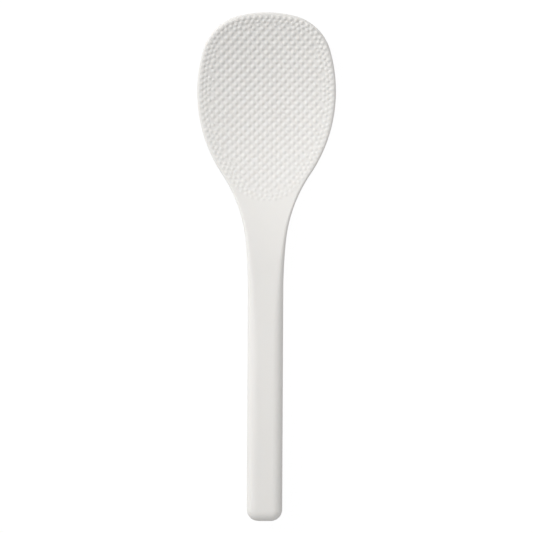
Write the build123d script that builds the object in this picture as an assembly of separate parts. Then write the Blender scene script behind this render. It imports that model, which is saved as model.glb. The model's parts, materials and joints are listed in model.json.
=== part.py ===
from build123d import *
from dataclasses import dataclass
from math import asin, cos, degrees, radians, sin, sqrt
import os

# Rice paddle: a stiff core inside a moulded-on silicone skin, in millimetres.
# The paddle lies on its back. +Y runs from the butt to the tip and +Z out of the dotted face.
# The origin is on the table, under the middle of the paddle's length.

# Overall sizes
overall_length = 220.0
bowl_width = 60.2
handle_width = 15.3
handle_thickness = 12.0
floor_thickness = 3.3

# Outline seen from above: each radius is tangent to the next, from the tip down to the handle
crown_radius = 50.0
shoulder_radius = 21.5
flank_radius = 64.0
neck_radius = 64.0
taper_radius = 225.0
butt_corner_radius = 5.0
tip_to_widest = 34.2
tip_to_root = 83.0
tip_to_handle = 120.5

# Form seen from the side: the dish, the bowl's round back and the arch under the neck
dish_radius_along = 165.0
dish_radius_across = 340.0
back_radius = 225.0
arch_radius = 120.0
tip_to_dish_low = 41.5
tip_to_back_low = 48.0

# Rounded edges
handle_edge_radius = 3.4
rim_edge_radius = 1.0

# Dots: two staggered rings follow the rim, and staggered rows fill the field inside them.
# The rows stand closer together towards the root, and parts of a third ring fill the gaps beside them.
dot_radius = 0.9
ring_dot_radius = 0.75
dot_height = 0.3
dot_root_depth = 0.15
dot_gap = 0.05
dot_sides = 4
outer_ring_inset = 2.0
inner_ring_inset = 3.6
gap_ring_inset = 5.2
lattice_inset = 4.9
ring_pitch = 2.56
column_pitch = 3.84
tip_row_pitch = 2.08
root_row_pitch = 1.78
tip_to_first_row = 5.1

# Skin walls over the core
skin_side_wall = 2.4
skin_handle_wall = 1.6
skin_bowl_wall = 0.8

# Openings in the core that the skin locks through
window_width = 5.0
window_length = 14.0
window_web = 8.0
window_count = 3
butt_to_window = 14.0
slot_width = 5.0
slot_length = 24.0
slot_pitch = 13.0
slot_count = 3

# Where the neck's cross-sections stand between the handle and the root of the bowl
section_shares = (0.03, 0.14, 0.28, 0.42, 0.56, 0.7, 0.84, 0.97)

tip_y = overall_length / 2
butt_y = -tip_y
widest_y = tip_y - tip_to_widest
root_y = tip_y - tip_to_root
handle_y = tip_y - tip_to_handle
dish_y = tip_y - tip_to_dish_low
back_y = tip_y - tip_to_back_low


@dataclass(frozen=True)
class Layer:
    """How far a layer lies under the paddle's outside, and how its edges are rounded."""

    side: float
    handle_face: float
    bowl_face: float
    handle_edge: float = 0.0
    rim_edge: float = 0.0


outside = Layer(0, 0, 0, handle_edge_radius, rim_edge_radius)
core_layer = Layer(skin_side_wall, skin_handle_wall, skin_bowl_wall)


@dataclass(frozen=True)
class Bend:
    """One arc of the outline's right half, hollow where the paddle curves inwards."""

    centre: Vector
    radius: float
    first: Vector
    last: Vector
    hollow: bool = False

    def drawn_in(self, inset: float) -> "Bend":
        """The same bend, moved into the paddle by a distance."""
        radius = self.radius + inset if self.hollow else self.radius - inset
        first, last = (towards(self.centre, end, radius) for end in (self.first, self.last))
        return Bend(self.centre, radius, first, last, self.hollow)

    def edge(self) -> Edge:
        """The bend as an arc."""
        middle = towards(self.centre, (self.first + self.last) * 0.5, self.radius)
        return ThreePointArc(self.first, middle, self.last)

    def half_width(self, y: float) -> float:
        """Distance from the centre line to the bend at a place along the paddle."""
        reach = sqrt(self.radius**2 - (y - self.centre.Y) ** 2)
        return self.centre.X - reach if self.hollow else self.centre.X + reach


def towards(start: Vector, target: Vector, distance: float) -> Vector:
    """The point that lies a distance from start on the way to target."""
    return start + (target - start).normalized() * distance


def crossing(centre_a: Vector, radius_a: float, centre_b: Vector, radius_b: float) -> Vector:
    """Where two circles cross, on the right of the way from a to b."""
    way = centre_b - centre_a
    along = (radius_a**2 - radius_b**2 + way.length**2) / (2 * way.length)
    aside = sqrt(radius_a**2 - along**2)
    step = way.normalized()
    return centre_a + step * along + Vector(step.Y, -step.X) * aside


def outline_bends() -> list[Bend]:
    """Crown, shoulder, flank, neck and taper of the right half, each tangent to the next."""
    crown = Vector(0, tip_y - crown_radius)
    flank = Vector(bowl_width / 2 - flank_radius, widest_y)
    taper = Vector(handle_width / 2 + taper_radius, handle_y)
    shoulder = crossing(crown, crown_radius - shoulder_radius, flank, flank_radius - shoulder_radius)
    neck = crossing(flank, flank_radius + neck_radius, taper, taper_radius - neck_radius)
    crown_end = towards(crown, shoulder, crown_radius)
    flank_start = towards(flank, shoulder, flank_radius)
    flank_end = towards(flank, neck, flank_radius)
    taper_start = towards(taper, neck, taper_radius)
    return [
        Bend(crown, crown_radius, Vector(0, tip_y), crown_end),
        Bend(shoulder, shoulder_radius, crown_end, flank_start),
        Bend(flank, flank_radius, flank_start, flank_end),
        Bend(neck, neck_radius, flank_end, taper_start, hollow=True),
        Bend(taper, taper_radius, taper_start, Vector(handle_width / 2, handle_y), hollow=True),
    ]


def field_bends() -> list[Bend]:
    """The dotted field's outline: the bowl's own bends, closed by an arc that meets the root."""
    crown, shoulder, flank = outline_bends()[:3]
    reach = flank_radius + root_y
    closing_y = (reach**2 - flank.centre.X**2 - widest_y**2) / (2 * (reach - widest_y))
    closing = Vector(0, closing_y)
    closing_start = towards(flank.centre, closing, flank_radius)
    return [
        crown,
        shoulder,
        Bend(flank.centre, flank_radius, flank.first, closing_start),
        Bend(closing, closing_y - root_y, closing_start, Vector(0, root_y)),
    ]


def field_wire(inset: float) -> Wire:
    """The dotted field's outline, drawn in by a distance."""
    right = [bend.drawn_in(inset).edge() for bend in field_bends()]
    return Wire(right + [edge.mirror(Plane.YZ) for edge in right])


def half_width(y: float, inset: float) -> float:
    """Half the paddle's width, drawn in by a distance, from the bowl's flank down to the handle."""
    for bend in outline_bends()[2:]:
        drawn = bend.drawn_in(inset)
        if drawn.last.Y <= y <= drawn.first.Y:
            return drawn.half_width(y)
    return handle_width / 2 - inset


# The front falls from the handle over a crest into the dish, and the back rises into an arch.
# Both meet the bowl's surfaces at the root with the same slope.
dish_slope = asin((dish_y - root_y) / dish_radius_along)
back_slope = asin((back_y - root_y) / back_radius)
root_top = floor_thickness + dish_radius_along * (1 - cos(dish_slope))
root_bottom = back_radius * (1 - cos(back_slope))
crest_radius = (handle_thickness - root_top) / (1 - cos(dish_slope))
crest_y = root_y - crest_radius * sin(dish_slope)
arch_height = root_bottom + arch_radius * (1 - cos(back_slope))
arch_y = root_y - arch_radius * sin(back_slope)
arch_run = sqrt(arch_radius**2 - (arch_radius - arch_height / 2) ** 2)
arch_start_y = arch_y - 2 * arch_run
neck_start_y = min(crest_y, arch_start_y)


def top_height(y: float) -> float:
    """Height of the front face on the centre line of the neck."""
    if y < crest_y:
        return handle_thickness
    return handle_thickness - crest_radius + sqrt(crest_radius**2 - (y - crest_y) ** 2)


def bottom_height(y: float) -> float:
    """Height of the back on the centre line of the neck."""
    if y < arch_start_y:
        return 0
    if y < arch_y - arch_run:
        return arch_radius - sqrt(arch_radius**2 - (y - arch_start_y) ** 2)
    return arch_height - arch_radius + sqrt(arch_radius**2 - (y - arch_y) ** 2)


def dished_space(low_y: float, low_z: float, along: float, across: float) -> Part:
    """The space over a surface that is hollow both along and across the paddle."""
    reach = min(overall_length / 2, along * sin(radians(60)))
    edge_z = low_z + along - sqrt(along**2 - reach**2)
    axis_z = low_z + across
    start, end = Vector(0, low_y - reach, edge_z), Vector(0, low_y + reach, edge_z)
    rest = Polyline(end, (0, end.Y, axis_z), (0, start.Y, axis_z), start)
    profile = make_face([ThreePointArc(start, (0, low_y, low_z), end), *rest.edges()])
    axis = Axis((0, 0, axis_z), (0, 1, 0))
    turn = 2 * degrees(asin(bowl_width / across))
    return revolve(profile.rotate(axis, -turn / 2), axis, turn)


def bowl_plate(layer: Layer) -> Part:
    """The dished bowl, cut off square at the root."""
    half = half_width(root_y, layer.side)
    edges = []
    for bend in (bend.drawn_in(layer.side) for bend in outline_bends()):
        if bend.first.Y > root_y:
            last = bend.last if bend.last.Y > root_y else Vector(half, root_y)
            edges.append(Bend(bend.centre, bend.radius, bend.first, last, bend.hollow).edge())
    edges += [edge.mirror(Plane.YZ) for edge in edges]
    edges.append(Line((-half, root_y), (half, root_y)))
    blank = extrude(make_face(edges), handle_thickness)
    wall = layer.bowl_face
    over_back = dished_space(back_y, wall, back_radius - wall, back_radius - wall)
    over_dish = dished_space(dish_y, floor_thickness - wall, dish_radius_along + wall,
                             dish_radius_across + wall)
    plate = blank & over_back
    plate -= over_dish
    if layer.rim_edge:
        root_face = plate.faces().sort_by(Axis.Y)[0]
        uprights = plate.edges().filter_by(Axis.Z)
        plate = fillet(plate.edges() - uprights - root_face.edges(), layer.rim_edge)
    return plate


def handle_bar(layer: Layer) -> Part:
    """The straight part of the handle, a bar with a round-cornered butt."""
    half = handle_width / 2 - layer.side
    start_y = butt_y + layer.side
    plan = make_face(Polyline((-half, neck_start_y), (-half, start_y), (half, start_y),
                              (half, neck_start_y), close=True))
    plan = fillet(plan.vertices().group_by(Axis.Y)[0], butt_corner_radius - layer.side)
    bar = extrude(Pos(Z=layer.handle_face) * plan, handle_thickness - 2 * layer.handle_face)
    if layer.handle_edge:
        neck_face = bar.faces().sort_by(Axis.Y)[-1]
        uprights = bar.edges().filter_by(Axis.Z)
        bar = fillet(bar.edges() - uprights - neck_face.edges(), layer.handle_edge)
    return bar


def neck_section(share: float, layer: Layer) -> Face:
    """One cross-section of the neck, between the handle's bar at 0 and the bowl's root at 1."""
    y = neck_start_y + share * (root_y - neck_start_y)
    blend = share**2 * (3 - 2 * share)
    half = half_width(y, layer.side)
    wall = layer.handle_face + blend * (layer.bowl_face - layer.handle_face)
    top, bottom = top_height(y) - wall, bottom_height(y) + wall
    top_rise, bottom_rise = (blend * half**2 / (2 * radius) for radius in (dish_radius_across, back_radius))
    face = make_face([
        ThreePointArc((-half, y, top + top_rise), (0, y, top), (half, y, top + top_rise)),
        Line((half, y, top + top_rise), (half, y, bottom + bottom_rise)),
        ThreePointArc((half, y, bottom + bottom_rise), (0, y, bottom), (-half, y, bottom + bottom_rise)),
        Line((-half, y, bottom + bottom_rise), (-half, y, top + top_rise)),
    ]).face()
    if layer.handle_edge:
        radius = layer.handle_edge + blend * (layer.rim_edge - layer.handle_edge)
        face = face.fillet_2d(radius, face.vertices())
    return face


def paddle_form(layer: Layer) -> Part:
    """Handle, neck and bowl in one, as the outside or as a layer under it."""
    bar = handle_bar(layer)
    bowl = bowl_plate(layer)
    sections = [neck_section(share, layer) for share in section_shares]
    neck = loft([bar.faces().sort_by(Axis.Y)[-1], *sections, bowl.faces().sort_by(Axis.Y)[0]])
    return bar + neck + bowl


def dish_seat(x: float, y: float) -> Location:
    """A place on the dish, with its local Z square to the surface."""
    axis_z = floor_thickness + dish_radius_across
    swing = dish_radius_across - dish_radius_along
    reach = swing + sqrt(dish_radius_along**2 - (y - dish_y) ** 2)
    point = Vector(x, y, axis_z - sqrt(reach**2 - x**2))
    centre = towards(Vector(0, 0, axis_z), Vector(x, 0, point.Z), swing) + Vector(0, dish_y)
    return Plane(point, x_dir=(1, 0, 0), z_dir=centre - point).location


def ring_places(inset: float, phase: float) -> list[Vector]:
    """Evenly spaced places along the outer ring, moved into the paddle to an inset."""
    wire = field_wire(outer_ring_inset)
    count = round(wire.length / ring_pitch)
    places = []
    for i in range(count):
        way = (i + phase) * wire.length / count
        ahead = wire.tangent_at(way, PositionMode.LENGTH)
        inward = Vector(ahead.Y, -ahead.X)
        places.append(wire.position_at(way, PositionMode.LENGTH) + inward * (inset - outer_ring_inset))
    return places


def row_places() -> list[float]:
    """Where the rows stand along the paddle, from the tip to the root."""
    rows = [tip_y - tip_to_first_row]
    while rows[-1] > root_y:
        share = (tip_y - rows[-1]) / tip_to_root
        rows.append(rows[-1] - tip_row_pitch - share * (root_row_pitch - tip_row_pitch))
    return rows


def row_dots() -> list[Vector]:
    """Places of the staggered rows inside the rings."""
    field = make_face(field_wire(lattice_inset).edges()).face()
    reach = int(bowl_width / 2 / column_pitch) + 1
    columns = range(-reach, reach + 1)
    places = [Vector((column + row % 2 / 2) * column_pitch, y)
              for row, y in enumerate(row_places()) for column in columns]
    return [place for place in places if field.is_inside(place)]


def clear_of(others: list[Vector], places: list[Vector]) -> list[Vector]:
    """The places whose dots stand clear of all the others."""
    clearance = dot_radius + ring_dot_radius + dot_gap
    return [place for place in places if min((place - other).length for other in others) > clearance]


def stud(radius: float) -> Part:
    """One few-sided dot, with a root that reaches into the skin."""
    spread = radius * (dot_height + dot_root_depth) / dot_height
    base = Plane.XY.offset(-dot_root_depth) * RegularPolygon(spread, dot_sides)
    return loft([base, Vertex(0, 0, dot_height)], ruled=True)


def dot_field() -> list[Part]:
    """Every dot of the front face, square to the dish."""
    inner_ring = ring_places(inner_ring_inset, 0.5)
    rows = clear_of(inner_ring, row_dots())
    gaps = clear_of(rows, ring_places(gap_ring_inset, 0))
    small, large = stud(ring_dot_radius), stud(dot_radius)
    rings = ring_places(outer_ring_inset, 0) + inner_ring + gaps
    studs = [dish_seat(place.X, place.Y) * small for place in rings]
    return studs + [dish_seat(place.X, place.Y) * large for place in rows]


def stiffening_core() -> Part:
    """Handle beam and bowl blade in one stiff piece, open where the skin locks through it."""
    core = paddle_form(core_layer)
    window = Box(window_width, window_length, 2 * handle_thickness)
    first_y = butt_y + butt_to_window + window_length / 2
    step = window_length + window_web
    core -= [Pos(0, first_y + i * step) * window for i in range(window_count)]
    slot = Box(slot_width, slot_length, 2 * handle_thickness)
    return core - [Pos(0, dish_y) * place * slot for place in GridLocations(slot_pitch, 0, slot_count, 1)]


def silicone_skin(core: Part) -> Part:
    """The dotted outside, moulded round the core and through its openings."""
    hollow = paddle_form(outside) - core
    return hollow.fuse(*dot_field())


def main() -> None:
    """Builds both pieces and writes one file for each."""
    os.makedirs("parts", exist_ok=True)
    core = stiffening_core()
    for name, piece in {"stiffening_core": core, "silicone_skin": silicone_skin(core)}.items():
        export_step(piece, f"parts/{name}.step")


if __name__ == "__main__":
    main()
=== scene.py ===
"""Looks of a rice paddle: a dotted silicone skin moulded over a stiff core, on a white table.

Lengths are in metres. The paddle lies on its back, +Y runs from the butt to the tip and +Z out of
the dotted face. The origin is on the table, under the middle of the paddle's length.
"""

import json
import logging
import math
from dataclasses import dataclass, field
from enum import Enum

import bmesh
import bpy
from mathutils import Matrix, Vector

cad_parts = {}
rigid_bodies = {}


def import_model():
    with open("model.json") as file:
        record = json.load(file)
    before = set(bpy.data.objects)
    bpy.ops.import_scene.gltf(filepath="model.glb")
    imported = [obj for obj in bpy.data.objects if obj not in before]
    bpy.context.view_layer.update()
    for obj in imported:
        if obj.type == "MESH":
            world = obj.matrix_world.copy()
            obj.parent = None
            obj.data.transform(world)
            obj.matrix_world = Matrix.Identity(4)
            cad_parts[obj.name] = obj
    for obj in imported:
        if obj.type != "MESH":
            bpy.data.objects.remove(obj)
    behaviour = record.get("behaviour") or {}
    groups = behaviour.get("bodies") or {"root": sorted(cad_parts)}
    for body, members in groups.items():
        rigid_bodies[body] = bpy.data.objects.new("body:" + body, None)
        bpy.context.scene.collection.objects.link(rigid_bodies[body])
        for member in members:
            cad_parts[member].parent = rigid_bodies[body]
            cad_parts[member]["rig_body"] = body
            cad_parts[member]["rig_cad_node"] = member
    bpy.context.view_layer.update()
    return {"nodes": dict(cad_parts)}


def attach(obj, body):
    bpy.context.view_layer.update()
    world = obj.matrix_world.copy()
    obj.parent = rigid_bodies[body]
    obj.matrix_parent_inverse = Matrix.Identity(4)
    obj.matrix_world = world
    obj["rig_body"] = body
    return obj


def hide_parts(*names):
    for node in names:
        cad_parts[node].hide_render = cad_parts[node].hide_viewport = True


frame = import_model()

MM = 0.001
WHOLE_BODY = "root"
log = logging.getLogger("rice_paddle")


class Face(Enum):
    """The two broad faces of the paddle."""

    FRONT = "front"
    BACK = "back"


@dataclass(frozen=True)
class Station:
    """A place on the paddle's outline.

    Attributes:
        place: Point of the outline seen from above.
        inward: Unit vector square to the outline, into the paddle.
    """

    place: Vector
    inward: Vector


@dataclass(frozen=True)
class Run:
    """A straight stretch of the outline's right half, with the paddle on its right."""

    first: Vector
    last: Vector

    def station(self, share: float) -> Station:
        """Place and inward direction at a share of the length."""
        way = (self.last - self.first).normalized()
        return Station(self.first.lerp(self.last, share), Vector((way.y, -way.x)))


@dataclass(frozen=True)
class Bend:
    """One arc of the outline's right half, hollow where the paddle curves inwards."""

    centre: Vector
    radius: float
    first: Vector
    last: Vector
    hollow: bool = False

    @property
    def sweep(self) -> float:
        """Signed angle from the first point to the last about the centre, in radians."""
        start, end = self.first - self.centre, self.last - self.centre
        return math.atan2(start.cross(end), start.dot(end))

    @property
    def length(self) -> float:
        """Length of the arc."""
        return abs(self.sweep) * self.radius

    def station(self, share: float) -> Station:
        """Place and inward direction at a share of the arc."""
        spoke = Matrix.Rotation(self.sweep * share, 2) @ (self.first - self.centre).normalized()
        return Station(self.centre + spoke * self.radius, spoke if self.hollow else -spoke)

    def drawn_in(self, inset: float) -> "Bend":
        """The same arc, moved into the paddle.

        Args:
            inset: Distance that it moves.

        Returns:
            The arc about the same centre.
        """
        radius = self.radius + inset if self.hollow else self.radius - inset
        first = towards(self.centre, self.first, radius)
        return Bend(self.centre, radius, first, towards(self.centre, self.last, radius), self.hollow)

    def half_width(self, y: float) -> float:
        """Distance from the centre line to the arc at a place along the paddle."""
        reach = math.sqrt(self.radius**2 - (y - self.centre.y) ** 2)
        return self.centre.x - reach if self.hollow else self.centre.x + reach


def towards(start: Vector, target: Vector, distance: float) -> Vector:
    """The point that lies a distance from start on the way to target."""
    return start + (target - start).normalized() * distance


def eased(share: float) -> float:
    """A share held between 0 and 1, and eased at both ends."""
    share = min(max(share, 0.0), 1.0)
    return share**2 * (3 - 2 * share)


def crossing(centre_a: Vector, radius_a: float, centre_b: Vector, radius_b: float) -> Vector:
    """Where two circles cross.

    Args:
        centre_a: Centre of the first circle.
        radius_a: Its radius.
        centre_b: Centre of the second circle.
        radius_b: Its radius.

    Returns:
        The crossing on the right of the way from a to b.
    """
    way = centre_b - centre_a
    along = (radius_a**2 - radius_b**2 + way.length_squared) / (2 * way.length)
    aside = math.sqrt(radius_a**2 - along**2)
    step = way.normalized()
    return centre_a + step * along + Vector((step.y, -step.x)) * aside


def nearest(place: Vector, others: list[Vector]) -> float:
    """Distance from a place to the nearest of the others."""
    return min((place - other).length for other in others)


def station_along(bends: list[Bend], way: float) -> Station:
    """The station that lies some way along a chain of arcs."""
    for bend in bends:
        if way <= bend.length or bend is bends[-1]:
            return bend.station(min(way / bend.length, 1))
        way -= bend.length


@dataclass(frozen=True)
class Outline:
    """The paddle seen from above, as arcs that are tangent to each other.

    Attributes:
        overall_length: Length from butt to tip.
        bowl_width: Width at the widest place.
        handle_width: Width of the straight part of the handle.
        crown_radius: Radius of the arc over the tip.
        field_crown_radius: The same for the dotted field.
        shoulder_radius: Radius of the tight arc between crown and flank.
        flank_radius: Radius of the bowl's side.
        neck_radius: Radius of the hollow arc under the bowl.
        taper_radius: Radius of the long hollow arc into the handle.
        butt_corner_radius: Radius of the butt's corners.
        tip_to_widest: Distance from the tip down to the widest place.
        tip_to_root: Distance from the tip down to the end of the dotted field.
        tip_to_handle: Distance from the tip down to the straight part of the handle.
    """

    overall_length: float = 220.0 * MM
    bowl_width: float = 60.2 * MM
    handle_width: float = 15.3 * MM
    crown_radius: float = 50.0 * MM
    field_crown_radius: float = 75.0 * MM
    shoulder_radius: float = 21.5 * MM
    flank_radius: float = 64.0 * MM
    neck_radius: float = 64.0 * MM
    taper_radius: float = 225.0 * MM
    butt_corner_radius: float = 5.0 * MM
    tip_to_widest: float = 34.2 * MM
    tip_to_root: float = 83.0 * MM
    tip_to_handle: float = 120.5 * MM

    @property
    def tip_y(self) -> float:
        """Place of the tip along the paddle."""
        return self.overall_length / 2

    @property
    def butt_y(self) -> float:
        """Place of the butt along the paddle."""
        return -self.tip_y

    @property
    def root_y(self) -> float:
        """Where the bowl meets the neck."""
        return self.tip_y - self.tip_to_root

    @property
    def handle_y(self) -> float:
        """Where the taper ends and the handle's sides run straight."""
        return self.tip_y - self.tip_to_handle

    def bends(self) -> list[Bend]:
        """Crown, shoulder, flank, neck and taper of the right half, from the tip down."""
        crown = Vector((0, self.tip_y - self.crown_radius))
        flank = Vector((self.bowl_width / 2 - self.flank_radius, self.tip_y - self.tip_to_widest))
        taper = Vector((self.handle_width / 2 + self.taper_radius, self.handle_y))
        shoulder = crossing(crown, self.crown_radius - self.shoulder_radius,
                            flank, self.flank_radius - self.shoulder_radius)
        neck = crossing(flank, self.flank_radius + self.neck_radius,
                        taper, self.taper_radius - self.neck_radius)
        crown_end = towards(crown, shoulder, self.crown_radius)
        flank_start = towards(flank, shoulder, self.flank_radius)
        flank_end = towards(flank, neck, self.flank_radius)
        taper_start = towards(taper, neck, self.taper_radius)
        taper_end = Vector((self.handle_width / 2, self.handle_y))
        return [
            Bend(crown, self.crown_radius, Vector((0, self.tip_y)), crown_end),
            Bend(shoulder, self.shoulder_radius, crown_end, flank_start),
            Bend(flank, self.flank_radius, flank_start, flank_end),
            Bend(neck, self.neck_radius, flank_end, taper_start, hollow=True),
            Bend(taper, self.taper_radius, taper_start, taper_end, hollow=True),
        ]

    def handle_end(self) -> list[Run | Bend]:
        """The handle's straight side, its round corner and half of the butt."""
        half = self.handle_width / 2
        corner = Vector((half, self.butt_y)) + self.butt_corner_radius * Vector((-1, 1))
        corner_start, corner_end = Vector((half, corner.y)), Vector((corner.x, self.butt_y))
        return [
            Run(Vector((half, self.handle_y)), corner_start),
            Bend(corner, self.butt_corner_radius, corner_start, corner_end),
            Run(corner_end, Vector((0, self.butt_y))),
        ]

    def field_bends(self) -> list[Bend]:
        """The dotted field's outline: flatter than the bowl at the tip, and closed at the root."""
        _, shoulder, flank = self.bends()[:3]
        reach = self.field_crown_radius - self.shoulder_radius
        crown = Vector((0, shoulder.centre.y - math.sqrt(reach**2 - shoulder.centre.x**2)))
        crown_top = crown + Vector((0, self.field_crown_radius))
        crown_end = towards(crown, shoulder.centre, self.field_crown_radius)
        reach = self.flank_radius + self.root_y
        rise = flank.centre.length_squared
        closing_y = (reach**2 - rise) / (2 * (reach - flank.centre.y))
        closing = Vector((0, closing_y))
        closing_start = towards(flank.centre, closing, self.flank_radius)
        return [
            Bend(crown, self.field_crown_radius, crown_top, crown_end),
            Bend(shoulder.centre, self.shoulder_radius, crown_end, flank.first),
            Bend(flank.centre, self.flank_radius, flank.first, closing_start),
            Bend(closing, closing_y - self.root_y, closing_start, Vector((0, self.root_y))),
        ]


@dataclass
class Relief:
    """The paddle seen from the side: heights of its front and back over the table.

    Attributes:
        outline: The paddle seen from above.
        handle_thickness: Thickness of the handle.
        floor_thickness: Thickness of the bowl where the dish is lowest.
        dish_radius_along: Radius of the dish along the paddle.
        dish_radius_across: Radius of the dish across it.
        back_radius: Radius of the bowl's back, which is part of a ball.
        arch_radius: Radius of the two arcs of the arch under the neck.
        tip_to_dish_low: Distance from the tip down to the dish's lowest place.
        tip_to_back_low: Distance from the tip down to where the bowl touches the table.
        handle_front_edge: Width and depth of the handle's rounded edges in front.
        handle_back_edge: The same at the back.
        rim_edge: The same round the bowl.
        tip_edge_width: Width of the rounded front edge in the middle of the tip.
        tip_edge_reach: How far down from the tip that edge is wider than the rim's.
        dish_y: Place of the dish's lowest point along the paddle; it and the rest are worked out.
        back_y: Where the bowl touches the table.
        crest_radius: Radius of the arc that rises from the root to the handle's front.
        crest_y: Where that arc ends on the handle.
        arch_height: Height of the arch where it is highest.
        arch_y: Where the arch is highest.
        arch_run: Distance along the paddle over which the arch rises to half its height.
        arch_start_y: Where the arch starts to rise from the handle's back.
        neck_start_y: Where the first of the neck's two curves starts.
    """

    outline: Outline
    handle_thickness: float = 12.0 * MM
    floor_thickness: float = 3.3 * MM
    dish_radius_along: float = 165.0 * MM
    dish_radius_across: float = 340.0 * MM
    back_radius: float = 225.0 * MM
    arch_radius: float = 120.0 * MM
    tip_to_dish_low: float = 41.5 * MM
    tip_to_back_low: float = 48.0 * MM
    handle_front_edge: tuple[float, float] = (4.2 * MM, 2.6 * MM)
    handle_back_edge: tuple[float, float] = (3.4 * MM, 3.4 * MM)
    rim_edge: tuple[float, float] = (1.1 * MM, 1.1 * MM)
    tip_edge_width: float = 1.7 * MM
    tip_edge_reach: float = 14.0 * MM
    dish_y: float = field(init=False)
    back_y: float = field(init=False)
    crest_radius: float = field(init=False)
    crest_y: float = field(init=False)
    arch_height: float = field(init=False)
    arch_y: float = field(init=False)
    arch_run: float = field(init=False)
    arch_start_y: float = field(init=False)
    neck_start_y: float = field(init=False)

    def __post_init__(self) -> None:
        """Works out where the neck's curves start and end."""
        outline = self.outline
        self.dish_y = outline.tip_y - self.tip_to_dish_low
        self.back_y = outline.tip_y - self.tip_to_back_low
        dish_slope = math.asin((self.dish_y - outline.root_y) / self.dish_radius_along)
        back_slope = math.asin((self.back_y - outline.root_y) / self.back_radius)
        root_top = self.floor_thickness + self.dish_radius_along * (1 - math.cos(dish_slope))
        root_bottom = self.back_radius * (1 - math.cos(back_slope))
        self.crest_radius = (self.handle_thickness - root_top) / (1 - math.cos(dish_slope))
        self.crest_y = outline.root_y - self.crest_radius * math.sin(dish_slope)
        self.arch_height = root_bottom + self.arch_radius * (1 - math.cos(back_slope))
        self.arch_y = outline.root_y - self.arch_radius * math.sin(back_slope)
        arch_middle = self.arch_radius - self.arch_height / 2
        self.arch_run = math.sqrt(self.arch_radius**2 - arch_middle**2)
        self.arch_start_y = self.arch_y - 2 * self.arch_run
        self.neck_start_y = min(self.crest_y, self.arch_start_y)

    def blend(self, y: float) -> float:
        """How far the neck has turned from the handle, 0, into the bowl, 1."""
        return eased((y - self.neck_start_y) / (self.outline.root_y - self.neck_start_y))

    def edge(self, face: Face, y: float) -> Vector:
        """Width and depth of a face's rounded edge at a place along the paddle."""
        handle = self.handle_front_edge if face is Face.FRONT else self.handle_back_edge
        edge = Vector(handle).lerp(Vector(self.rim_edge), self.blend(y))
        if face is Face.FRONT:
            share = eased(1 - (self.outline.tip_y - y) / self.tip_edge_reach)
            edge.x += share * (self.tip_edge_width - self.rim_edge[0])
        return edge

    def front(self, spot: Vector) -> float:
        """Height of the front face over a spot of the table."""
        x, y = spot.x, spot.y
        if y > self.outline.root_y:
            axis_z = self.floor_thickness + self.dish_radius_across
            reach = self.dish_radius_across - self.dish_radius_along
            reach += math.sqrt(self.dish_radius_along**2 - (y - self.dish_y) ** 2)
            return axis_z - math.sqrt(reach**2 - x**2)
        rise = self.blend(y) * x**2 / (2 * self.dish_radius_across)
        if y < self.crest_y:
            return self.handle_thickness + rise
        drop = self.crest_radius - math.sqrt(self.crest_radius**2 - (y - self.crest_y) ** 2)
        return self.handle_thickness - drop + rise

    def back(self, spot: Vector) -> float:
        """Height of the back over a spot of the table."""
        x, y = spot.x, spot.y
        if y > self.outline.root_y:
            return self.back_radius - math.sqrt(self.back_radius**2 - x**2 - (y - self.back_y) ** 2)
        rise = self.blend(y) * x**2 / (2 * self.back_radius)
        if y < self.arch_start_y:
            return rise
        if y < self.arch_y - self.arch_run:
            lift = self.arch_radius - math.sqrt(self.arch_radius**2 - (y - self.arch_start_y) ** 2)
            return lift + rise
        drop = self.arch_radius - math.sqrt(self.arch_radius**2 - (y - self.arch_y) ** 2)
        return self.arch_height - drop + rise

    def height(self, face: Face, spot: Vector) -> float:
        """Height of one of the two faces over a spot of the table."""
        return self.front(spot) if face is Face.FRONT else self.back(spot)

    def dish_seat(self, spot: Vector) -> Matrix:
        """Where a dot stands on the dish.

        Args:
            spot: The dot's place seen from above.

        Returns:
            A matrix that puts the dot's foot on the dish, square to it.
        """
        axis_z = self.floor_thickness + self.dish_radius_across
        swing = self.dish_radius_across - self.dish_radius_along
        place = Vector((spot.x, spot.y, self.front(spot)))
        hub = Vector((0, self.dish_y, axis_z))
        centre = towards(hub, Vector((spot.x, self.dish_y, place.z)), swing)
        turn = (centre - place).to_track_quat("Z", "Y").to_matrix().to_4x4()
        return Matrix.Translation(place) @ turn


def only(piece: bpy.types.Object) -> None:
    """Makes one object the only one selected, and the active one."""
    bpy.ops.object.select_all(action="DESELECT")
    piece.select_set(True)
    bpy.context.view_layer.objects.active = piece


def apply_all(piece: bpy.types.Object) -> None:
    """Applies every modifier of a piece."""
    only(piece)
    for modifier in list(piece.modifiers):
        bpy.ops.object.modifier_apply(modifier=modifier.name)


def set_place(piece: bpy.types.Object) -> None:
    """Puts a piece's place and size into its mesh."""
    only(piece)
    bpy.ops.object.transform_apply(location=True, rotation=True, scale=True)


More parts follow.
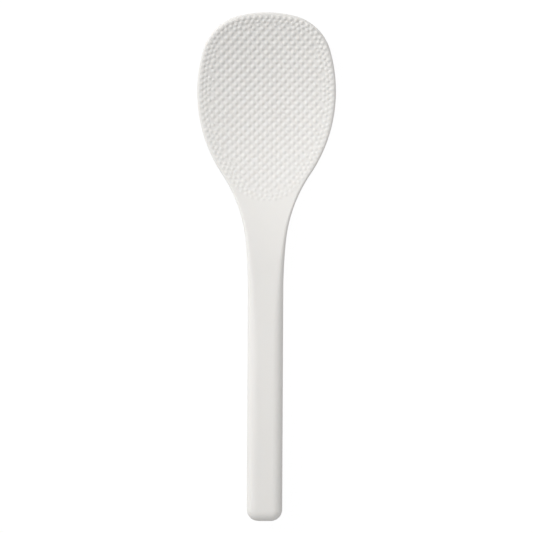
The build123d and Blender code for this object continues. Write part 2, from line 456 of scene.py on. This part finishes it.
@dataclass(frozen=True)
class SkinBody:
    """The skin's outside without its dots, drawn ring by ring from the outline.

    Attributes:
        outline: The paddle seen from above.
        relief: The paddle seen from the side.
        crown_steps: Spans of half the crown; the next ones are spans of the other stretches.
        edge_steps: Spans round each rounded edge.
        face_lip: Width of the strip between a rounded edge and the grid on its face.
    """

    outline: Outline
    relief: Relief
    crown_steps: int = 7
    shoulder_steps: int = 14
    flank_steps: int = 33
    neck_steps: int = 19
    taper_steps: int = 12
    side_steps: int = 32
    corner_steps: int = 12
    butt_steps: int = 8
    edge_steps: int = 6
    face_lip: float = 0.15 * MM

    @property
    def across_steps(self) -> int:
        """Spans from one mid-shoulder over the crown to the other."""
        return 2 * self.crown_steps + self.shoulder_steps

    def stations(self) -> list[Station]:
        """Places round the whole outline, from the tip down the right side and back up."""
        steps = [self.crown_steps, self.shoulder_steps, self.flank_steps, self.neck_steps,
                 self.taper_steps, self.side_steps, self.corner_steps, self.butt_steps]
        stretches = [*self.outline.bends(), *self.outline.handle_end()]
        right = [
            stretch.station(i / count) for stretch, count in zip(stretches, steps) for i in range(count)
        ]
        butt = stretches[-1].station(1)
        left = [
            Station(Vector((-s.place.x, s.place.y)), Vector((-s.inward.x, s.inward.y)))
            for s in reversed(right[1:])
        ]
        return right + [butt] + left

    def ring_point(self, station: Station, face: Face, turn: float, lip: float) -> Vector:
        """One point of a ring that rounds the edge.

        Args:
            station: Place on the outline that it belongs to.
            face: The face that the edge leads to.
            turn: Angle round the edge, from 0 at the side wall to a right angle on the face.
            lip: Distance past the edge, on the face.

        Returns:
            The point in the row frame.
        """
        width, depth = self.relief.edge(face, station.place.y)
        spot = station.place + station.inward * (width * (1 - math.cos(turn)) + lip)
        drop = depth * (1 - math.sin(turn))
        height = self.relief.height(face, spot)
        return Vector((*spot, height - drop if face is Face.FRONT else height + drop))

    def place_ring(self, piece: bpy.types.Object, stations: list[Station], face: Face,
                   turn: float, lip: float = 0.0) -> None:
        """Moves the selected ring of vertices to its place.

        Args:
            piece: The skin, in edit mode, with one ring selected.
            stations: Places round the outline, in the order of the vertices' station numbers.
            face: The face that the ring leads to.
            turn: Angle round the edge, as in ring_point.
            lip: Distance past the edge, on the face.
        """
        mesh = bmesh.from_edit_mesh(piece.data)
        number = mesh.verts.layers.int["station"]
        for vertex in mesh.verts:
            if vertex.select:
                vertex.co = self.ring_point(stations[vertex[number]], face, turn, lip)
        bmesh.update_edit_mesh(piece.data)

    def round_edge(self, piece: bpy.types.Object, stations: list[Station], face: Face) -> None:
        """Extrudes the selected ring round the edge and onto a face, then fills that face."""
        for step in range(1, self.edge_steps + 1):
            bpy.ops.mesh.extrude_edges_move()
            self.place_ring(piece, stations, face, math.pi / 2 * step / self.edge_steps)
        bpy.ops.mesh.extrude_edges_move()
        self.place_ring(piece, stations, face, math.pi / 2, self.face_lip)
        self.fill_face(piece, stations, face)

    def fill_face(self, piece: bpy.types.Object, stations: list[Station], face: Face) -> None:
        """Fills the selected ring with an even grid, and lays the grid on the face."""
        mesh = bmesh.from_edit_mesh(piece.data)
        number = mesh.verts.layers.int["station"]
        corner = len(stations) - self.across_steps // 2
        ring = {vertex for vertex in mesh.verts if vertex.select}
        start = next(vertex for vertex in ring if vertex[number] == corner)
        mesh.select_history.clear()
        mesh.select_history.add(start)
        bmesh.update_edit_mesh(piece.data)
        bpy.ops.mesh.fill_grid(span=self.across_steps)
        mesh = bmesh.from_edit_mesh(piece.data)
        inner = {v for f in mesh.faces if f.select for v in f.verts} - ring
        for vertex in inner:
            vertex.co.z = self.relief.height(face, vertex.co.xy)
        bmesh.update_edit_mesh(piece.data)

    def build(self) -> bpy.types.Object:
        """Draws the outside.

        Returns:
            The closed piece, with its place in its mesh.
        """
        stations = self.stations()
        bpy.ops.object.select_all(action="DESELECT")
        bpy.ops.mesh.primitive_circle_add(vertices=len(stations), radius=self.outline.tip_y)
        piece = bpy.context.object
        piece.name = "silicone_skin_dressed"
        numbers = piece.data.attributes.new("station", "INT", "POINT")
        numbers.data.foreach_set("value", range(len(stations)))
        bpy.ops.object.mode_set(mode="EDIT")
        bpy.ops.mesh.select_all(action="SELECT")
        self.place_ring(piece, stations, Face.FRONT, 0)
        self.round_edge(piece, stations, Face.FRONT)
        bpy.ops.mesh.select_all(action="DESELECT")
        bpy.ops.mesh.select_non_manifold()
        bpy.ops.mesh.extrude_edges_move()
        self.place_ring(piece, stations, Face.BACK, 0)
        self.round_edge(piece, stations, Face.BACK)
        bpy.ops.mesh.select_all(action="SELECT")
        bpy.ops.mesh.normals_make_consistent(inside=False)
        bpy.ops.object.mode_set(mode="OBJECT")
        return piece


@dataclass(frozen=True)
class Dots:
    """The raised dots: two staggered rings along the rim, rows inside them, and a few between.

    Attributes:
        outline: The paddle seen from above.
        relief: The paddle seen from the side, which holds the dish.
        height: Height of a full dot at the tip.
        root_height_share: Height of a dot at the root as a share of the same dot at the tip.
        radius: Radius of a full dot at its foot.
        root_depth: How far a dot reaches under the dish.
        sides: Corners of a dot seen from above.
        fullness: How full the dot's outside is; 1 is a plain cap, and more makes its foot softer.
        ring_share: Largest size of a ring dot as a share of a full one.
        clearance: Smallest distance between the middles of two dots.
        outer_ring_inset: How far the outer ring lies inside the dotted field's outline.
        inner_ring_inset: The same for the inner ring.
        gap_insets: Insets, one after another, at which dots fill the gaps between rings and rows.
        lattice_inset: How far inside that outline the rows end.
        ring_pitch: Distance between the dots of a ring.
        column_pitch: Distance between the dots of a row.
        tip_row_pitch: Distance between two rows at the tip.
        root_row_pitch: The same at the root.
        tip_to_first_row: Distance from the tip down to the first row.
        radius_shares: Where the rings of a dot's mesh stand, from its foot inwards.
    """

    outline: Outline
    relief: Relief
    height: float = 0.375 * MM
    root_height_share: float = 0.48
    radius: float = 1.24 * MM
    root_depth: float = 0.25 * MM
    sides: int = 10
    fullness: float = 1.4
    ring_share: float = 0.82
    clearance: float = 1.7 * MM
    outer_ring_inset: float = 1.9 * MM
    inner_ring_inset: float = 3.45 * MM
    gap_insets: tuple[float, ...] = (5.15 * MM, 5.6 * MM, 6.1 * MM)
    lattice_inset: float = 4.9 * MM
    ring_pitch: float = 2.56 * MM
    column_pitch: float = 3.84 * MM
    tip_row_pitch: float = 2.08 * MM
    root_row_pitch: float = 1.78 * MM
    tip_to_first_row: float = 5.1 * MM
    radius_shares: tuple[float, ...] = (1.04, 0.9, 0.7, 0.47, 0.23)

    def ring_places(self, inset: float, phase: float) -> list[Vector]:
        """Evenly spaced places along the outer ring, moved into the paddle to an inset.

        Args:
            inset: How far the ring lies inside the dotted field's outline.
            phase: Share of a step by which the ring's first dot is moved on.

        Returns:
            The places seen from above.
        """
        bends = [bend.drawn_in(self.outer_ring_inset) for bend in self.outline.field_bends()]
        length = 2 * sum(bend.length for bend in bends)
        count = round(length / self.ring_pitch)
        places = []
        for i in range(count):
            way = (i + phase) * length / count
            side = 1 if way <= length / 2 else -1
            station = station_along(bends, min(way, length - way))
            spot = station.place + station.inward * (inset - self.outer_ring_inset)
            places.append(Vector((side * spot.x, spot.y)))
        return places

    def row_places(self) -> list[float]:
        """Where the rows stand along the paddle, closer together towards the root."""
        outline = self.outline
        rows = [outline.tip_y - self.tip_to_first_row]
        closing_up = self.tip_row_pitch - self.root_row_pitch
        while rows[-1] > outline.root_y:
            share = (outline.tip_y - rows[-1]) / outline.tip_to_root
            rows.append(rows[-1] - self.tip_row_pitch + share * closing_up)
        return rows

    def row_dots(self, y: float, shift: float) -> list[Vector]:
        """Places of one row's dots.

        Args:
            y: Where the row stands along the paddle.
            shift: Share of the column pitch by which the row is moved across.

        Returns:
            The places that lie inside the rings.
        """
        bends = [bend.drawn_in(self.lattice_inset) for bend in self.outline.field_bends()]
        half = next((bend.half_width(y) for bend in bends if bend.last.y <= y <= bend.first.y), 0)
        reach = int(half / self.column_pitch) + 1
        places = [(column + shift) * self.column_pitch for column in range(-reach, reach + 1)]
        return [Vector((x, y)) for x in places if abs(x) < half]

    def clear_of(self, others: list[Vector], places: list[Vector]) -> list[Vector]:
        """The places whose dots stand clear of all the others."""
        return [place for place in places if nearest(place, others) > self.clearance]

    def sets(self) -> list[list[tuple[Vector, float]]]:
        """All dots as place and size share, in sets within which no two dots touch."""
        outer = self.ring_places(self.outer_ring_inset, 0)
        inner = self.ring_places(self.inner_ring_inset, 0.5)
        rows = [
            self.clear_of(inner, self.row_dots(y, row % 2 / 2))
            for row, y in enumerate(self.row_places())
        ]
        gaps = []
        for inset in self.gap_insets:
            for phase in (0, 0.5):
                gaps += self.clear_of(inner + gaps + sum(rows, []), self.ring_places(inset, phase))
        every = outer + inner + gaps + sum(rows, [])
        kinds = (
            (outer + gaps, self.ring_share), (inner, self.ring_share),
            (sum(rows[::2], []), 1.0), (sum(rows[1::2], []), 1.0),
        )
        sets = []
        for dots, largest in kinds:
            rooms = [nearest(dot, [other for other in every if other is not dot]) / 2 for dot in dots]
            sets.append([(dot, min(room / self.radius, largest)) for dot, room in zip(dots, rooms)])
        return sets

    def seat(self, spot: Vector, share: float) -> Matrix:
        """The matrix that puts a dot of a size share at its place, lower towards the root."""
        way = (self.outline.tip_y - spot.y) / self.outline.tip_to_root
        lowering = Matrix.Diagonal((1, 1, 1 + way * (self.root_height_share - 1), 1))
        return self.relief.dish_seat(spot) @ lowering @ Matrix.Scale(share, 4)

    def profile(self, share: float) -> float:
        """Height of a dot's soft outside at a share of its radius."""
        if share > 1:
            return self.height * (1 - share)
        return self.height * (1 - share**2) ** self.fullness

    def dome(self) -> bpy.types.Object:
        """One soft dot, closed below, with its foot at the origin."""
        bpy.ops.object.select_all(action="DESELECT")
        radius = self.radius * self.radius_shares[0]
        bpy.ops.mesh.primitive_circle_add(vertices=self.sides, radius=radius, fill_type="NGON",
                                          location=(0, 0, -self.root_depth))
        dome = bpy.context.object
        dome.name = "dot"
        bpy.ops.object.mode_set(mode="EDIT")
        bpy.ops.mesh.select_all(action="SELECT")
        height = -self.root_depth
        for share in self.radius_shares:
            rise, size = self.profile(share) - height, self.radius * share / radius
            bpy.ops.mesh.extrude_region_move(TRANSFORM_OT_translate={"value": (0, 0, rise)})
            bpy.ops.transform.resize(value=(size, size, 1))
            height, radius = height + rise, radius * size
        bpy.ops.mesh.poke(offset=self.height - height)
        bpy.ops.mesh.select_all(action="SELECT")
        bpy.ops.mesh.normals_make_consistent(inside=False)
        bpy.ops.object.mode_set(mode="OBJECT")
        set_place(dome)
        return dome

    def build(self) -> list[bpy.types.Object]:
        """Every dot in its place on the dish.

        Returns:
            One object for each set of dots.
        """
        dome = self.dome()
        joined = []
        for dots in self.sets():
            copies = []
            for spot, share in dots:
                copy = dome.copy()
                copy.data = dome.data.copy()
                copy.data.transform(self.seat(spot, share))
                bpy.context.collection.objects.link(copy)
                copies.append(copy)
            only(copies[0])
            for copy in copies:
                copy.select_set(True)
            bpy.ops.object.join()
            joined.append(bpy.context.object)
        bpy.data.objects.remove(dome)
        return joined


@dataclass(frozen=True)
class Grain:
    """Fine surface grain of a moulded part, as one node group that several finishes use.

    Attributes:
        name: Name of the node group.
        grain_size: Cells of grain per metre, unless a finish sets it.
        mottle_size: Cells of mottle per metre, unless a finish sets it.
        grain_detail: Finer layers in the grain.
        mottle_detail: Finer layers in the mottle.
    """

    name: str = "moulded_grain"
    grain_size: float = 2500.0
    mottle_size: float = 60.0
    grain_detail: float = 3.0
    mottle_detail: float = 2.0

    def group(self) -> bpy.types.ShaderNodeTree:
        """The node group, built the first time it is asked for."""
        if self.name in bpy.data.node_groups:
            return bpy.data.node_groups[self.name]
        group = bpy.data.node_groups.new(self.name, "ShaderNodeTree")
        sockets = group.interface
        for name, value in (("Grain Size", self.grain_size), ("Mottle Size", self.mottle_size)):
            size = sockets.new_socket(name, in_out="INPUT", socket_type="NodeSocketFloat")
            size.default_value = value
        sockets.new_socket("Vector", in_out="INPUT", socket_type="NodeSocketVector")
        sockets.new_socket("Grain", in_out="OUTPUT", socket_type="NodeSocketFloat")
        sockets.new_socket("Mottle", in_out="OUTPUT", socket_type="NodeSocketFloat")
        nodes, links = group.nodes, group.links
        entry, result = nodes.new("NodeGroupInput"), nodes.new("NodeGroupOutput")
        layers = (
            ("Grain Size", "Grain", self.grain_detail), ("Mottle Size", "Mottle", self.mottle_detail),
        )
        for source, target, detail in layers:
            noise = nodes.new("ShaderNodeTexNoise")
            noise.inputs["Detail"].default_value = detail
            links.new(entry.outputs["Vector"], noise.inputs["Vector"])
            links.new(entry.outputs[source], noise.inputs["Scale"])
            links.new(noise.outputs["Fac"], result.inputs[target])
        return group


@dataclass(frozen=True)
class MouldedFinish:
    """A matt moulded surface with fine grain and a faint mottle.

    Attributes:
        name: Name of the material.
        colour: Main colour, linear.
        mottled: Colour that the mottle drifts to, linear.
        roughness: Lowest roughness; the mottle raises it by roughness_drift.
        roughness_drift: How much the roughness varies.
        grain_size: How fine the grain is, in cells per metre.
        mottle_size: How fine the mottle is, in cells per metre.
        grain_height: Depth of the grain, in metres.
        specular: Specular level of the shader.
        scatter: Weight of the light that spreads under the surface.
        scatter_depth: How deep that light goes, in metres.
        scatter_colour: The share of that depth that red, green and blue reach.
    """

    name: str
    colour: tuple[float, float, float]
    mottled: tuple[float, float, float]
    roughness: float
    roughness_drift: float
    grain_size: float
    mottle_size: float
    grain_height: float
    specular: float
    scatter: float
    scatter_depth: float = 0.6 * MM
    scatter_colour: tuple[float, float, float] = (1.0, 0.9, 0.8)

    def material(self) -> bpy.types.Material:
        """The finish as a material on Object coordinates."""
        material = bpy.data.materials.new(self.name)
        material.use_nodes = True
        nodes, links = material.node_tree.nodes, material.node_tree.links
        shader = nodes["Principled BSDF"]
        coordinates = nodes.new("ShaderNodeTexCoord")
        grain = nodes.new("ShaderNodeGroup")
        grain.node_tree = Grain().group()
        grain.inputs["Grain Size"].default_value = self.grain_size
        grain.inputs["Mottle Size"].default_value = self.mottle_size
        links.new(coordinates.outputs["Object"], grain.inputs["Vector"])
        colours = nodes.new("ShaderNodeMix")
        colours.data_type = "RGBA"
        colours.inputs["A"].default_value = (*self.colour, 1)
        colours.inputs["B"].default_value = (*self.mottled, 1)
        links.new(grain.outputs["Mottle"], colours.inputs["Factor"])
        links.new(colours.outputs["Result"], shader.inputs["Base Color"])
        drift = nodes.new("ShaderNodeMapRange")
        drift.inputs["To Min"].default_value = self.roughness
        drift.inputs["To Max"].default_value = self.roughness + self.roughness_drift
        links.new(grain.outputs["Mottle"], drift.inputs["Value"])
        links.new(drift.outputs["Result"], shader.inputs["Roughness"])
        bump = nodes.new("ShaderNodeBump")
        bump.inputs["Distance"].default_value = self.grain_height
        links.new(grain.outputs["Grain"], bump.inputs["Height"])
        links.new(bump.outputs["Normal"], shader.inputs["Normal"])
        shader.inputs["Specular IOR Level"].default_value = self.specular
        shader.inputs["Subsurface Weight"].default_value = self.scatter
        shader.inputs["Subsurface Radius"].default_value = self.scatter_colour
        shader.inputs["Subsurface Scale"].default_value = self.scatter_depth
        return material


SKIN_SILICONE = MouldedFinish(
    name="skin_silicone", colour=(0.80, 0.787, 0.764), mottled=(0.787, 0.773, 0.747), roughness=0.5,
    roughness_drift=0.12, grain_size=2600.0, mottle_size=45.0, grain_height=0.006 * MM,
    specular=0.35, scatter=0.15,
)
CORE_NYLON = MouldedFinish(
    name="core_nylon", colour=(0.62, 0.58, 0.50), mottled=(0.54, 0.50, 0.43), roughness=0.42,
    roughness_drift=0.2, grain_size=1400.0, mottle_size=160.0, grain_height=0.02 * MM,
    specular=0.4, scatter=0.05,
)


@dataclass
class RicePaddle:
    """The whole object: the dressed skin and the core inside it.

    Attributes:
        outline: The paddle seen from above.
        relief: The paddle seen from the side.
        smooth_angle: Edges sharper than this stay sharp.
        weld: Distance within which the corners of the core's triangles are merged.
    """

    outline: Outline = field(default_factory=Outline)
    relief: Relief = field(init=False)
    smooth_angle: float = math.radians(40)
    weld: float = 0.0005 * MM

    def __post_init__(self) -> None:
        """Makes the relief on this outline."""
        self.relief = Relief(self.outline)

    def combine(self, piece: bpy.types.Object, other: bpy.types.Object, operation: str) -> None:
        """Unites another mesh with a piece, or cuts it out, and removes the other mesh."""
        modifier = piece.modifiers.new(operation.lower(), "BOOLEAN")
        modifier.solver = "MANIFOLD"
        modifier.operation = operation
        modifier.object = other
        apply_all(piece)
        bpy.data.objects.remove(other)

    def core_copy(self) -> bpy.types.Object:
        """The core's shape as one closed mesh, to hollow the skin with."""
        core = frame["nodes"]["stiffening_core"]
        copy = core.copy()
        copy.data = core.data.copy()
        copy.parent = None
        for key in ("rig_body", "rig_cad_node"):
            del copy[key]
        bpy.context.collection.objects.link(copy)
        only(copy)
        bpy.ops.object.mode_set(mode="EDIT")
        bpy.ops.mesh.select_all(action="SELECT")
        bpy.ops.mesh.remove_doubles(threshold=self.weld)
        bpy.ops.object.mode_set(mode="OBJECT")
        return copy

    def skin(self) -> bpy.types.Object:
        """The silicone skin: outside, dots and the hollow that the core fills."""
        skin = SkinBody(self.outline, self.relief).build()
        for dots in Dots(self.outline, self.relief).build():
            self.combine(skin, dots, "UNION")
        self.combine(skin, self.core_copy(), "DIFFERENCE")
        if "station" in skin.data.attributes:
            skin.data.attributes.remove(skin.data.attributes["station"])
        only(skin)
        bpy.ops.object.shade_smooth_by_angle(angle=self.smooth_angle)
        skin.data.materials.clear()
        skin.data.materials.append(SKIN_SILICONE.material())
        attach(skin, WHOLE_BODY)
        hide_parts("silicone_skin")
        return skin

    def core(self) -> bpy.types.Object:
        """The core, which stays as the CAD made it and gets its finish."""
        core = frame["nodes"]["stiffening_core"]
        finish = CORE_NYLON.material()
        for slot in core.material_slots:
            slot.material = finish
        return core


@dataclass(frozen=True)
class Lamp:
    """One lamp of the studio.

    Attributes:
        name: Name of the lamp.
        kind: Blender's light type.
        place: Where the lamp stands.
        target: The spot that it faces.
        size: Width of a soft box, or diameter of a spotlight's glowing face.
        power: Power in watts.
        pool: Radius of the pool of light that a spotlight throws, or 0 for a soft box.
    """

    name: str
    kind: str
    place: Vector
    target: Vector
    size: float
    power: float
    pool: float = 0.0

    def build(self) -> None:
        """Adds the lamp to the scene."""
        data = bpy.data.lights.new(self.name, self.kind)
        data.energy = self.power
        way = self.place - self.target
        if self.pool:
            data.shadow_soft_size = self.size / 2
            data.spot_size = 2 * math.atan(self.pool / way.length)
            data.spot_blend = 1.0
        else:
            data.size = self.size
        lamp = bpy.data.objects.new(self.name, data)
        lamp.location = self.place
        lamp.rotation_mode = "QUATERNION"
        lamp.rotation_quaternion = way.to_track_quat("Z", "Y")
        bpy.context.collection.objects.link(lamp)


KEY_BOX = Lamp("key_box", "AREA", Vector((-0.67, 0.58, 0.46)).normalized() * 2.6, Vector((0, 0, 0)),
               size=0.9, power=46.7)
NECK_SPOT = Lamp("neck_spot", "SPOT", Vector((0.1155, -0.0135, 2.0)), Vector((0.1155, -0.0135, 0)),
                 size=0.3, power=66.0, pool=0.186)


@dataclass(frozen=True)
class Studio:
    """White table, soft light from the upper left, and a long lens straight above.

    Attributes:
        view_width: Width of the table that the picture shows.
        sensor_width: Width of the camera's sensor, in millimetres.
        lens_distance: Height of the camera over the level that fills the view width.
        focus_height: Height of that level over the table.
        camera_x: Where the camera stands across the paddle.
        tilt: Angle by which the camera is turned about the upright.
        ambient: Strength of the light from all round.
        table_size: Width of the table.
        table_paint: How much light the table throws back.
        table_roughness: Roughness of the table.
        table_glow: Share of the table's look that is plain white instead of lit paint.
        glow_strength: Strength of that white, just over 1 to make up for the paint.
    """

    view_width: float = 230.8 * MM
    sensor_width: float = 36.0
    lens_distance: float = 1.5
    focus_height: float = 6.5 * MM
    camera_x: float = 0.35 * MM
    tilt: float = math.radians(0.28)
    ambient: float = 0.469
    table_size: float = 6.0
    table_paint: float = 0.58
    table_roughness: float = 0.9
    table_glow: float = 0.87
    glow_strength: float = 1.1

    def camera(self) -> None:
        """A camera at the photograph's angle and framing."""
        data = bpy.data.cameras.new("long_lens")
        data.sensor_width = self.sensor_width
        data.lens = self.sensor_width * self.lens_distance / self.view_width
        data.clip_end = 10 * self.lens_distance
        camera = bpy.data.objects.new("camera", data)
        camera.location = (self.camera_x, 0, self.focus_height + self.lens_distance)
        camera.rotation_euler = (0, 0, self.tilt)
        bpy.context.collection.objects.link(camera)
        bpy.context.scene.camera = camera

    def seen_factor(self, tree: bpy.types.NodeTree) -> bpy.types.NodeSocket:
        """A factor of 1 for rays that show the background: straight, glossy or transmitted."""
        path = tree.nodes.new("ShaderNodeLightPath")
        factor = path.outputs["Is Camera Ray"]
        for name in ("Is Glossy Ray", "Is Transmission Ray"):
            more = tree.nodes.new("ShaderNodeMath")
            more.operation = "MAXIMUM"
            tree.links.new(factor, more.inputs[0])
            tree.links.new(path.outputs[name], more.inputs[1])
            factor = more.outputs["Value"]
        return factor

    def world(self) -> None:
        """Even light from all round, with a white background behind it."""
        world = bpy.data.worlds.new("studio")
        world.use_nodes = True
        tree = world.node_tree
        shown = tree.nodes["Background"]
        shown.inputs["Color"].default_value = (1, 1, 1, 1)
        shown.inputs["Strength"].default_value = 1.0
        light = tree.nodes.new("ShaderNodeBackground")
        light.inputs["Color"].default_value = (1, 1, 1, 1)
        light.inputs["Strength"].default_value = self.ambient
        mix = tree.nodes.new("ShaderNodeMixShader")
        tree.links.new(self.seen_factor(tree), mix.inputs["Fac"])
        tree.links.new(light.outputs["Background"], mix.inputs[1])
        tree.links.new(shown.outputs["Background"], mix.inputs[2])
        tree.links.new(mix.outputs["Shader"], tree.nodes["World Output"].inputs["Surface"])
        bpy.context.scene.world = world

    def table(self) -> None:
        """A white table that shows as the photograph's white ground and keeps a faint shadow."""
        bpy.ops.object.select_all(action="DESELECT")
        bpy.ops.mesh.primitive_plane_add(size=self.table_size)
        table = bpy.context.object
        table.name = "table"
        material = bpy.data.materials.new("table_white")
        material.use_nodes = True
        tree = material.node_tree
        paint = tree.nodes["Principled BSDF"]
        paint.inputs["Base Color"].default_value = 3 * (self.table_paint,) + (1,)
        paint.inputs["Roughness"].default_value = self.table_roughness
        paint.inputs["Specular IOR Level"].default_value = 0.0
        glow = tree.nodes.new("ShaderNodeEmission")
        glow.inputs["Strength"].default_value = self.glow_strength
        share = tree.nodes.new("ShaderNodeMath")
        share.operation = "MULTIPLY"
        share.inputs[1].default_value = self.table_glow
        tree.links.new(self.seen_factor(tree), share.inputs[0])
        mix = tree.nodes.new("ShaderNodeMixShader")
        tree.links.new(share.outputs["Value"], mix.inputs["Fac"])
        tree.links.new(paint.outputs["BSDF"], mix.inputs[1])
        tree.links.new(glow.outputs["Emission"], mix.inputs[2])
        tree.links.new(mix.outputs["Shader"], tree.nodes["Material Output"].inputs["Surface"])
        table.data.materials.append(material)

    def build(self) -> None:
        """Sets up table, lamps, camera and plain colour handling."""
        bpy.context.scene.view_settings.view_transform = "Standard"
        self.table()
        self.world()
        KEY_BOX.build()
        NECK_SPOT.build()
        self.camera()


def report(piece: bpy.types.Object) -> None:
    """Logs a piece's triangles and whether its mesh is closed."""
    mesh = bmesh.new()
    mesh.from_mesh(piece.data)
    triangles = sum(len(f.verts) - 2 for f in mesh.faces)
    loose = sum(1 for e in mesh.edges if not e.is_manifold)
    log.info("%s: %d triangles, %d open edges, volume %.2f cm3",
             piece.name, triangles, loose, mesh.calc_volume() * 1e6)
    mesh.free()


def main() -> None:
    """Builds the paddle and the studio round it."""
    logging.basicConfig(level=logging.INFO, format="%(message)s")
    paddle = RicePaddle()
    report(paddle.skin())
    paddle.core()
    Studio().build()


if __name__ == "__main__":
    main()
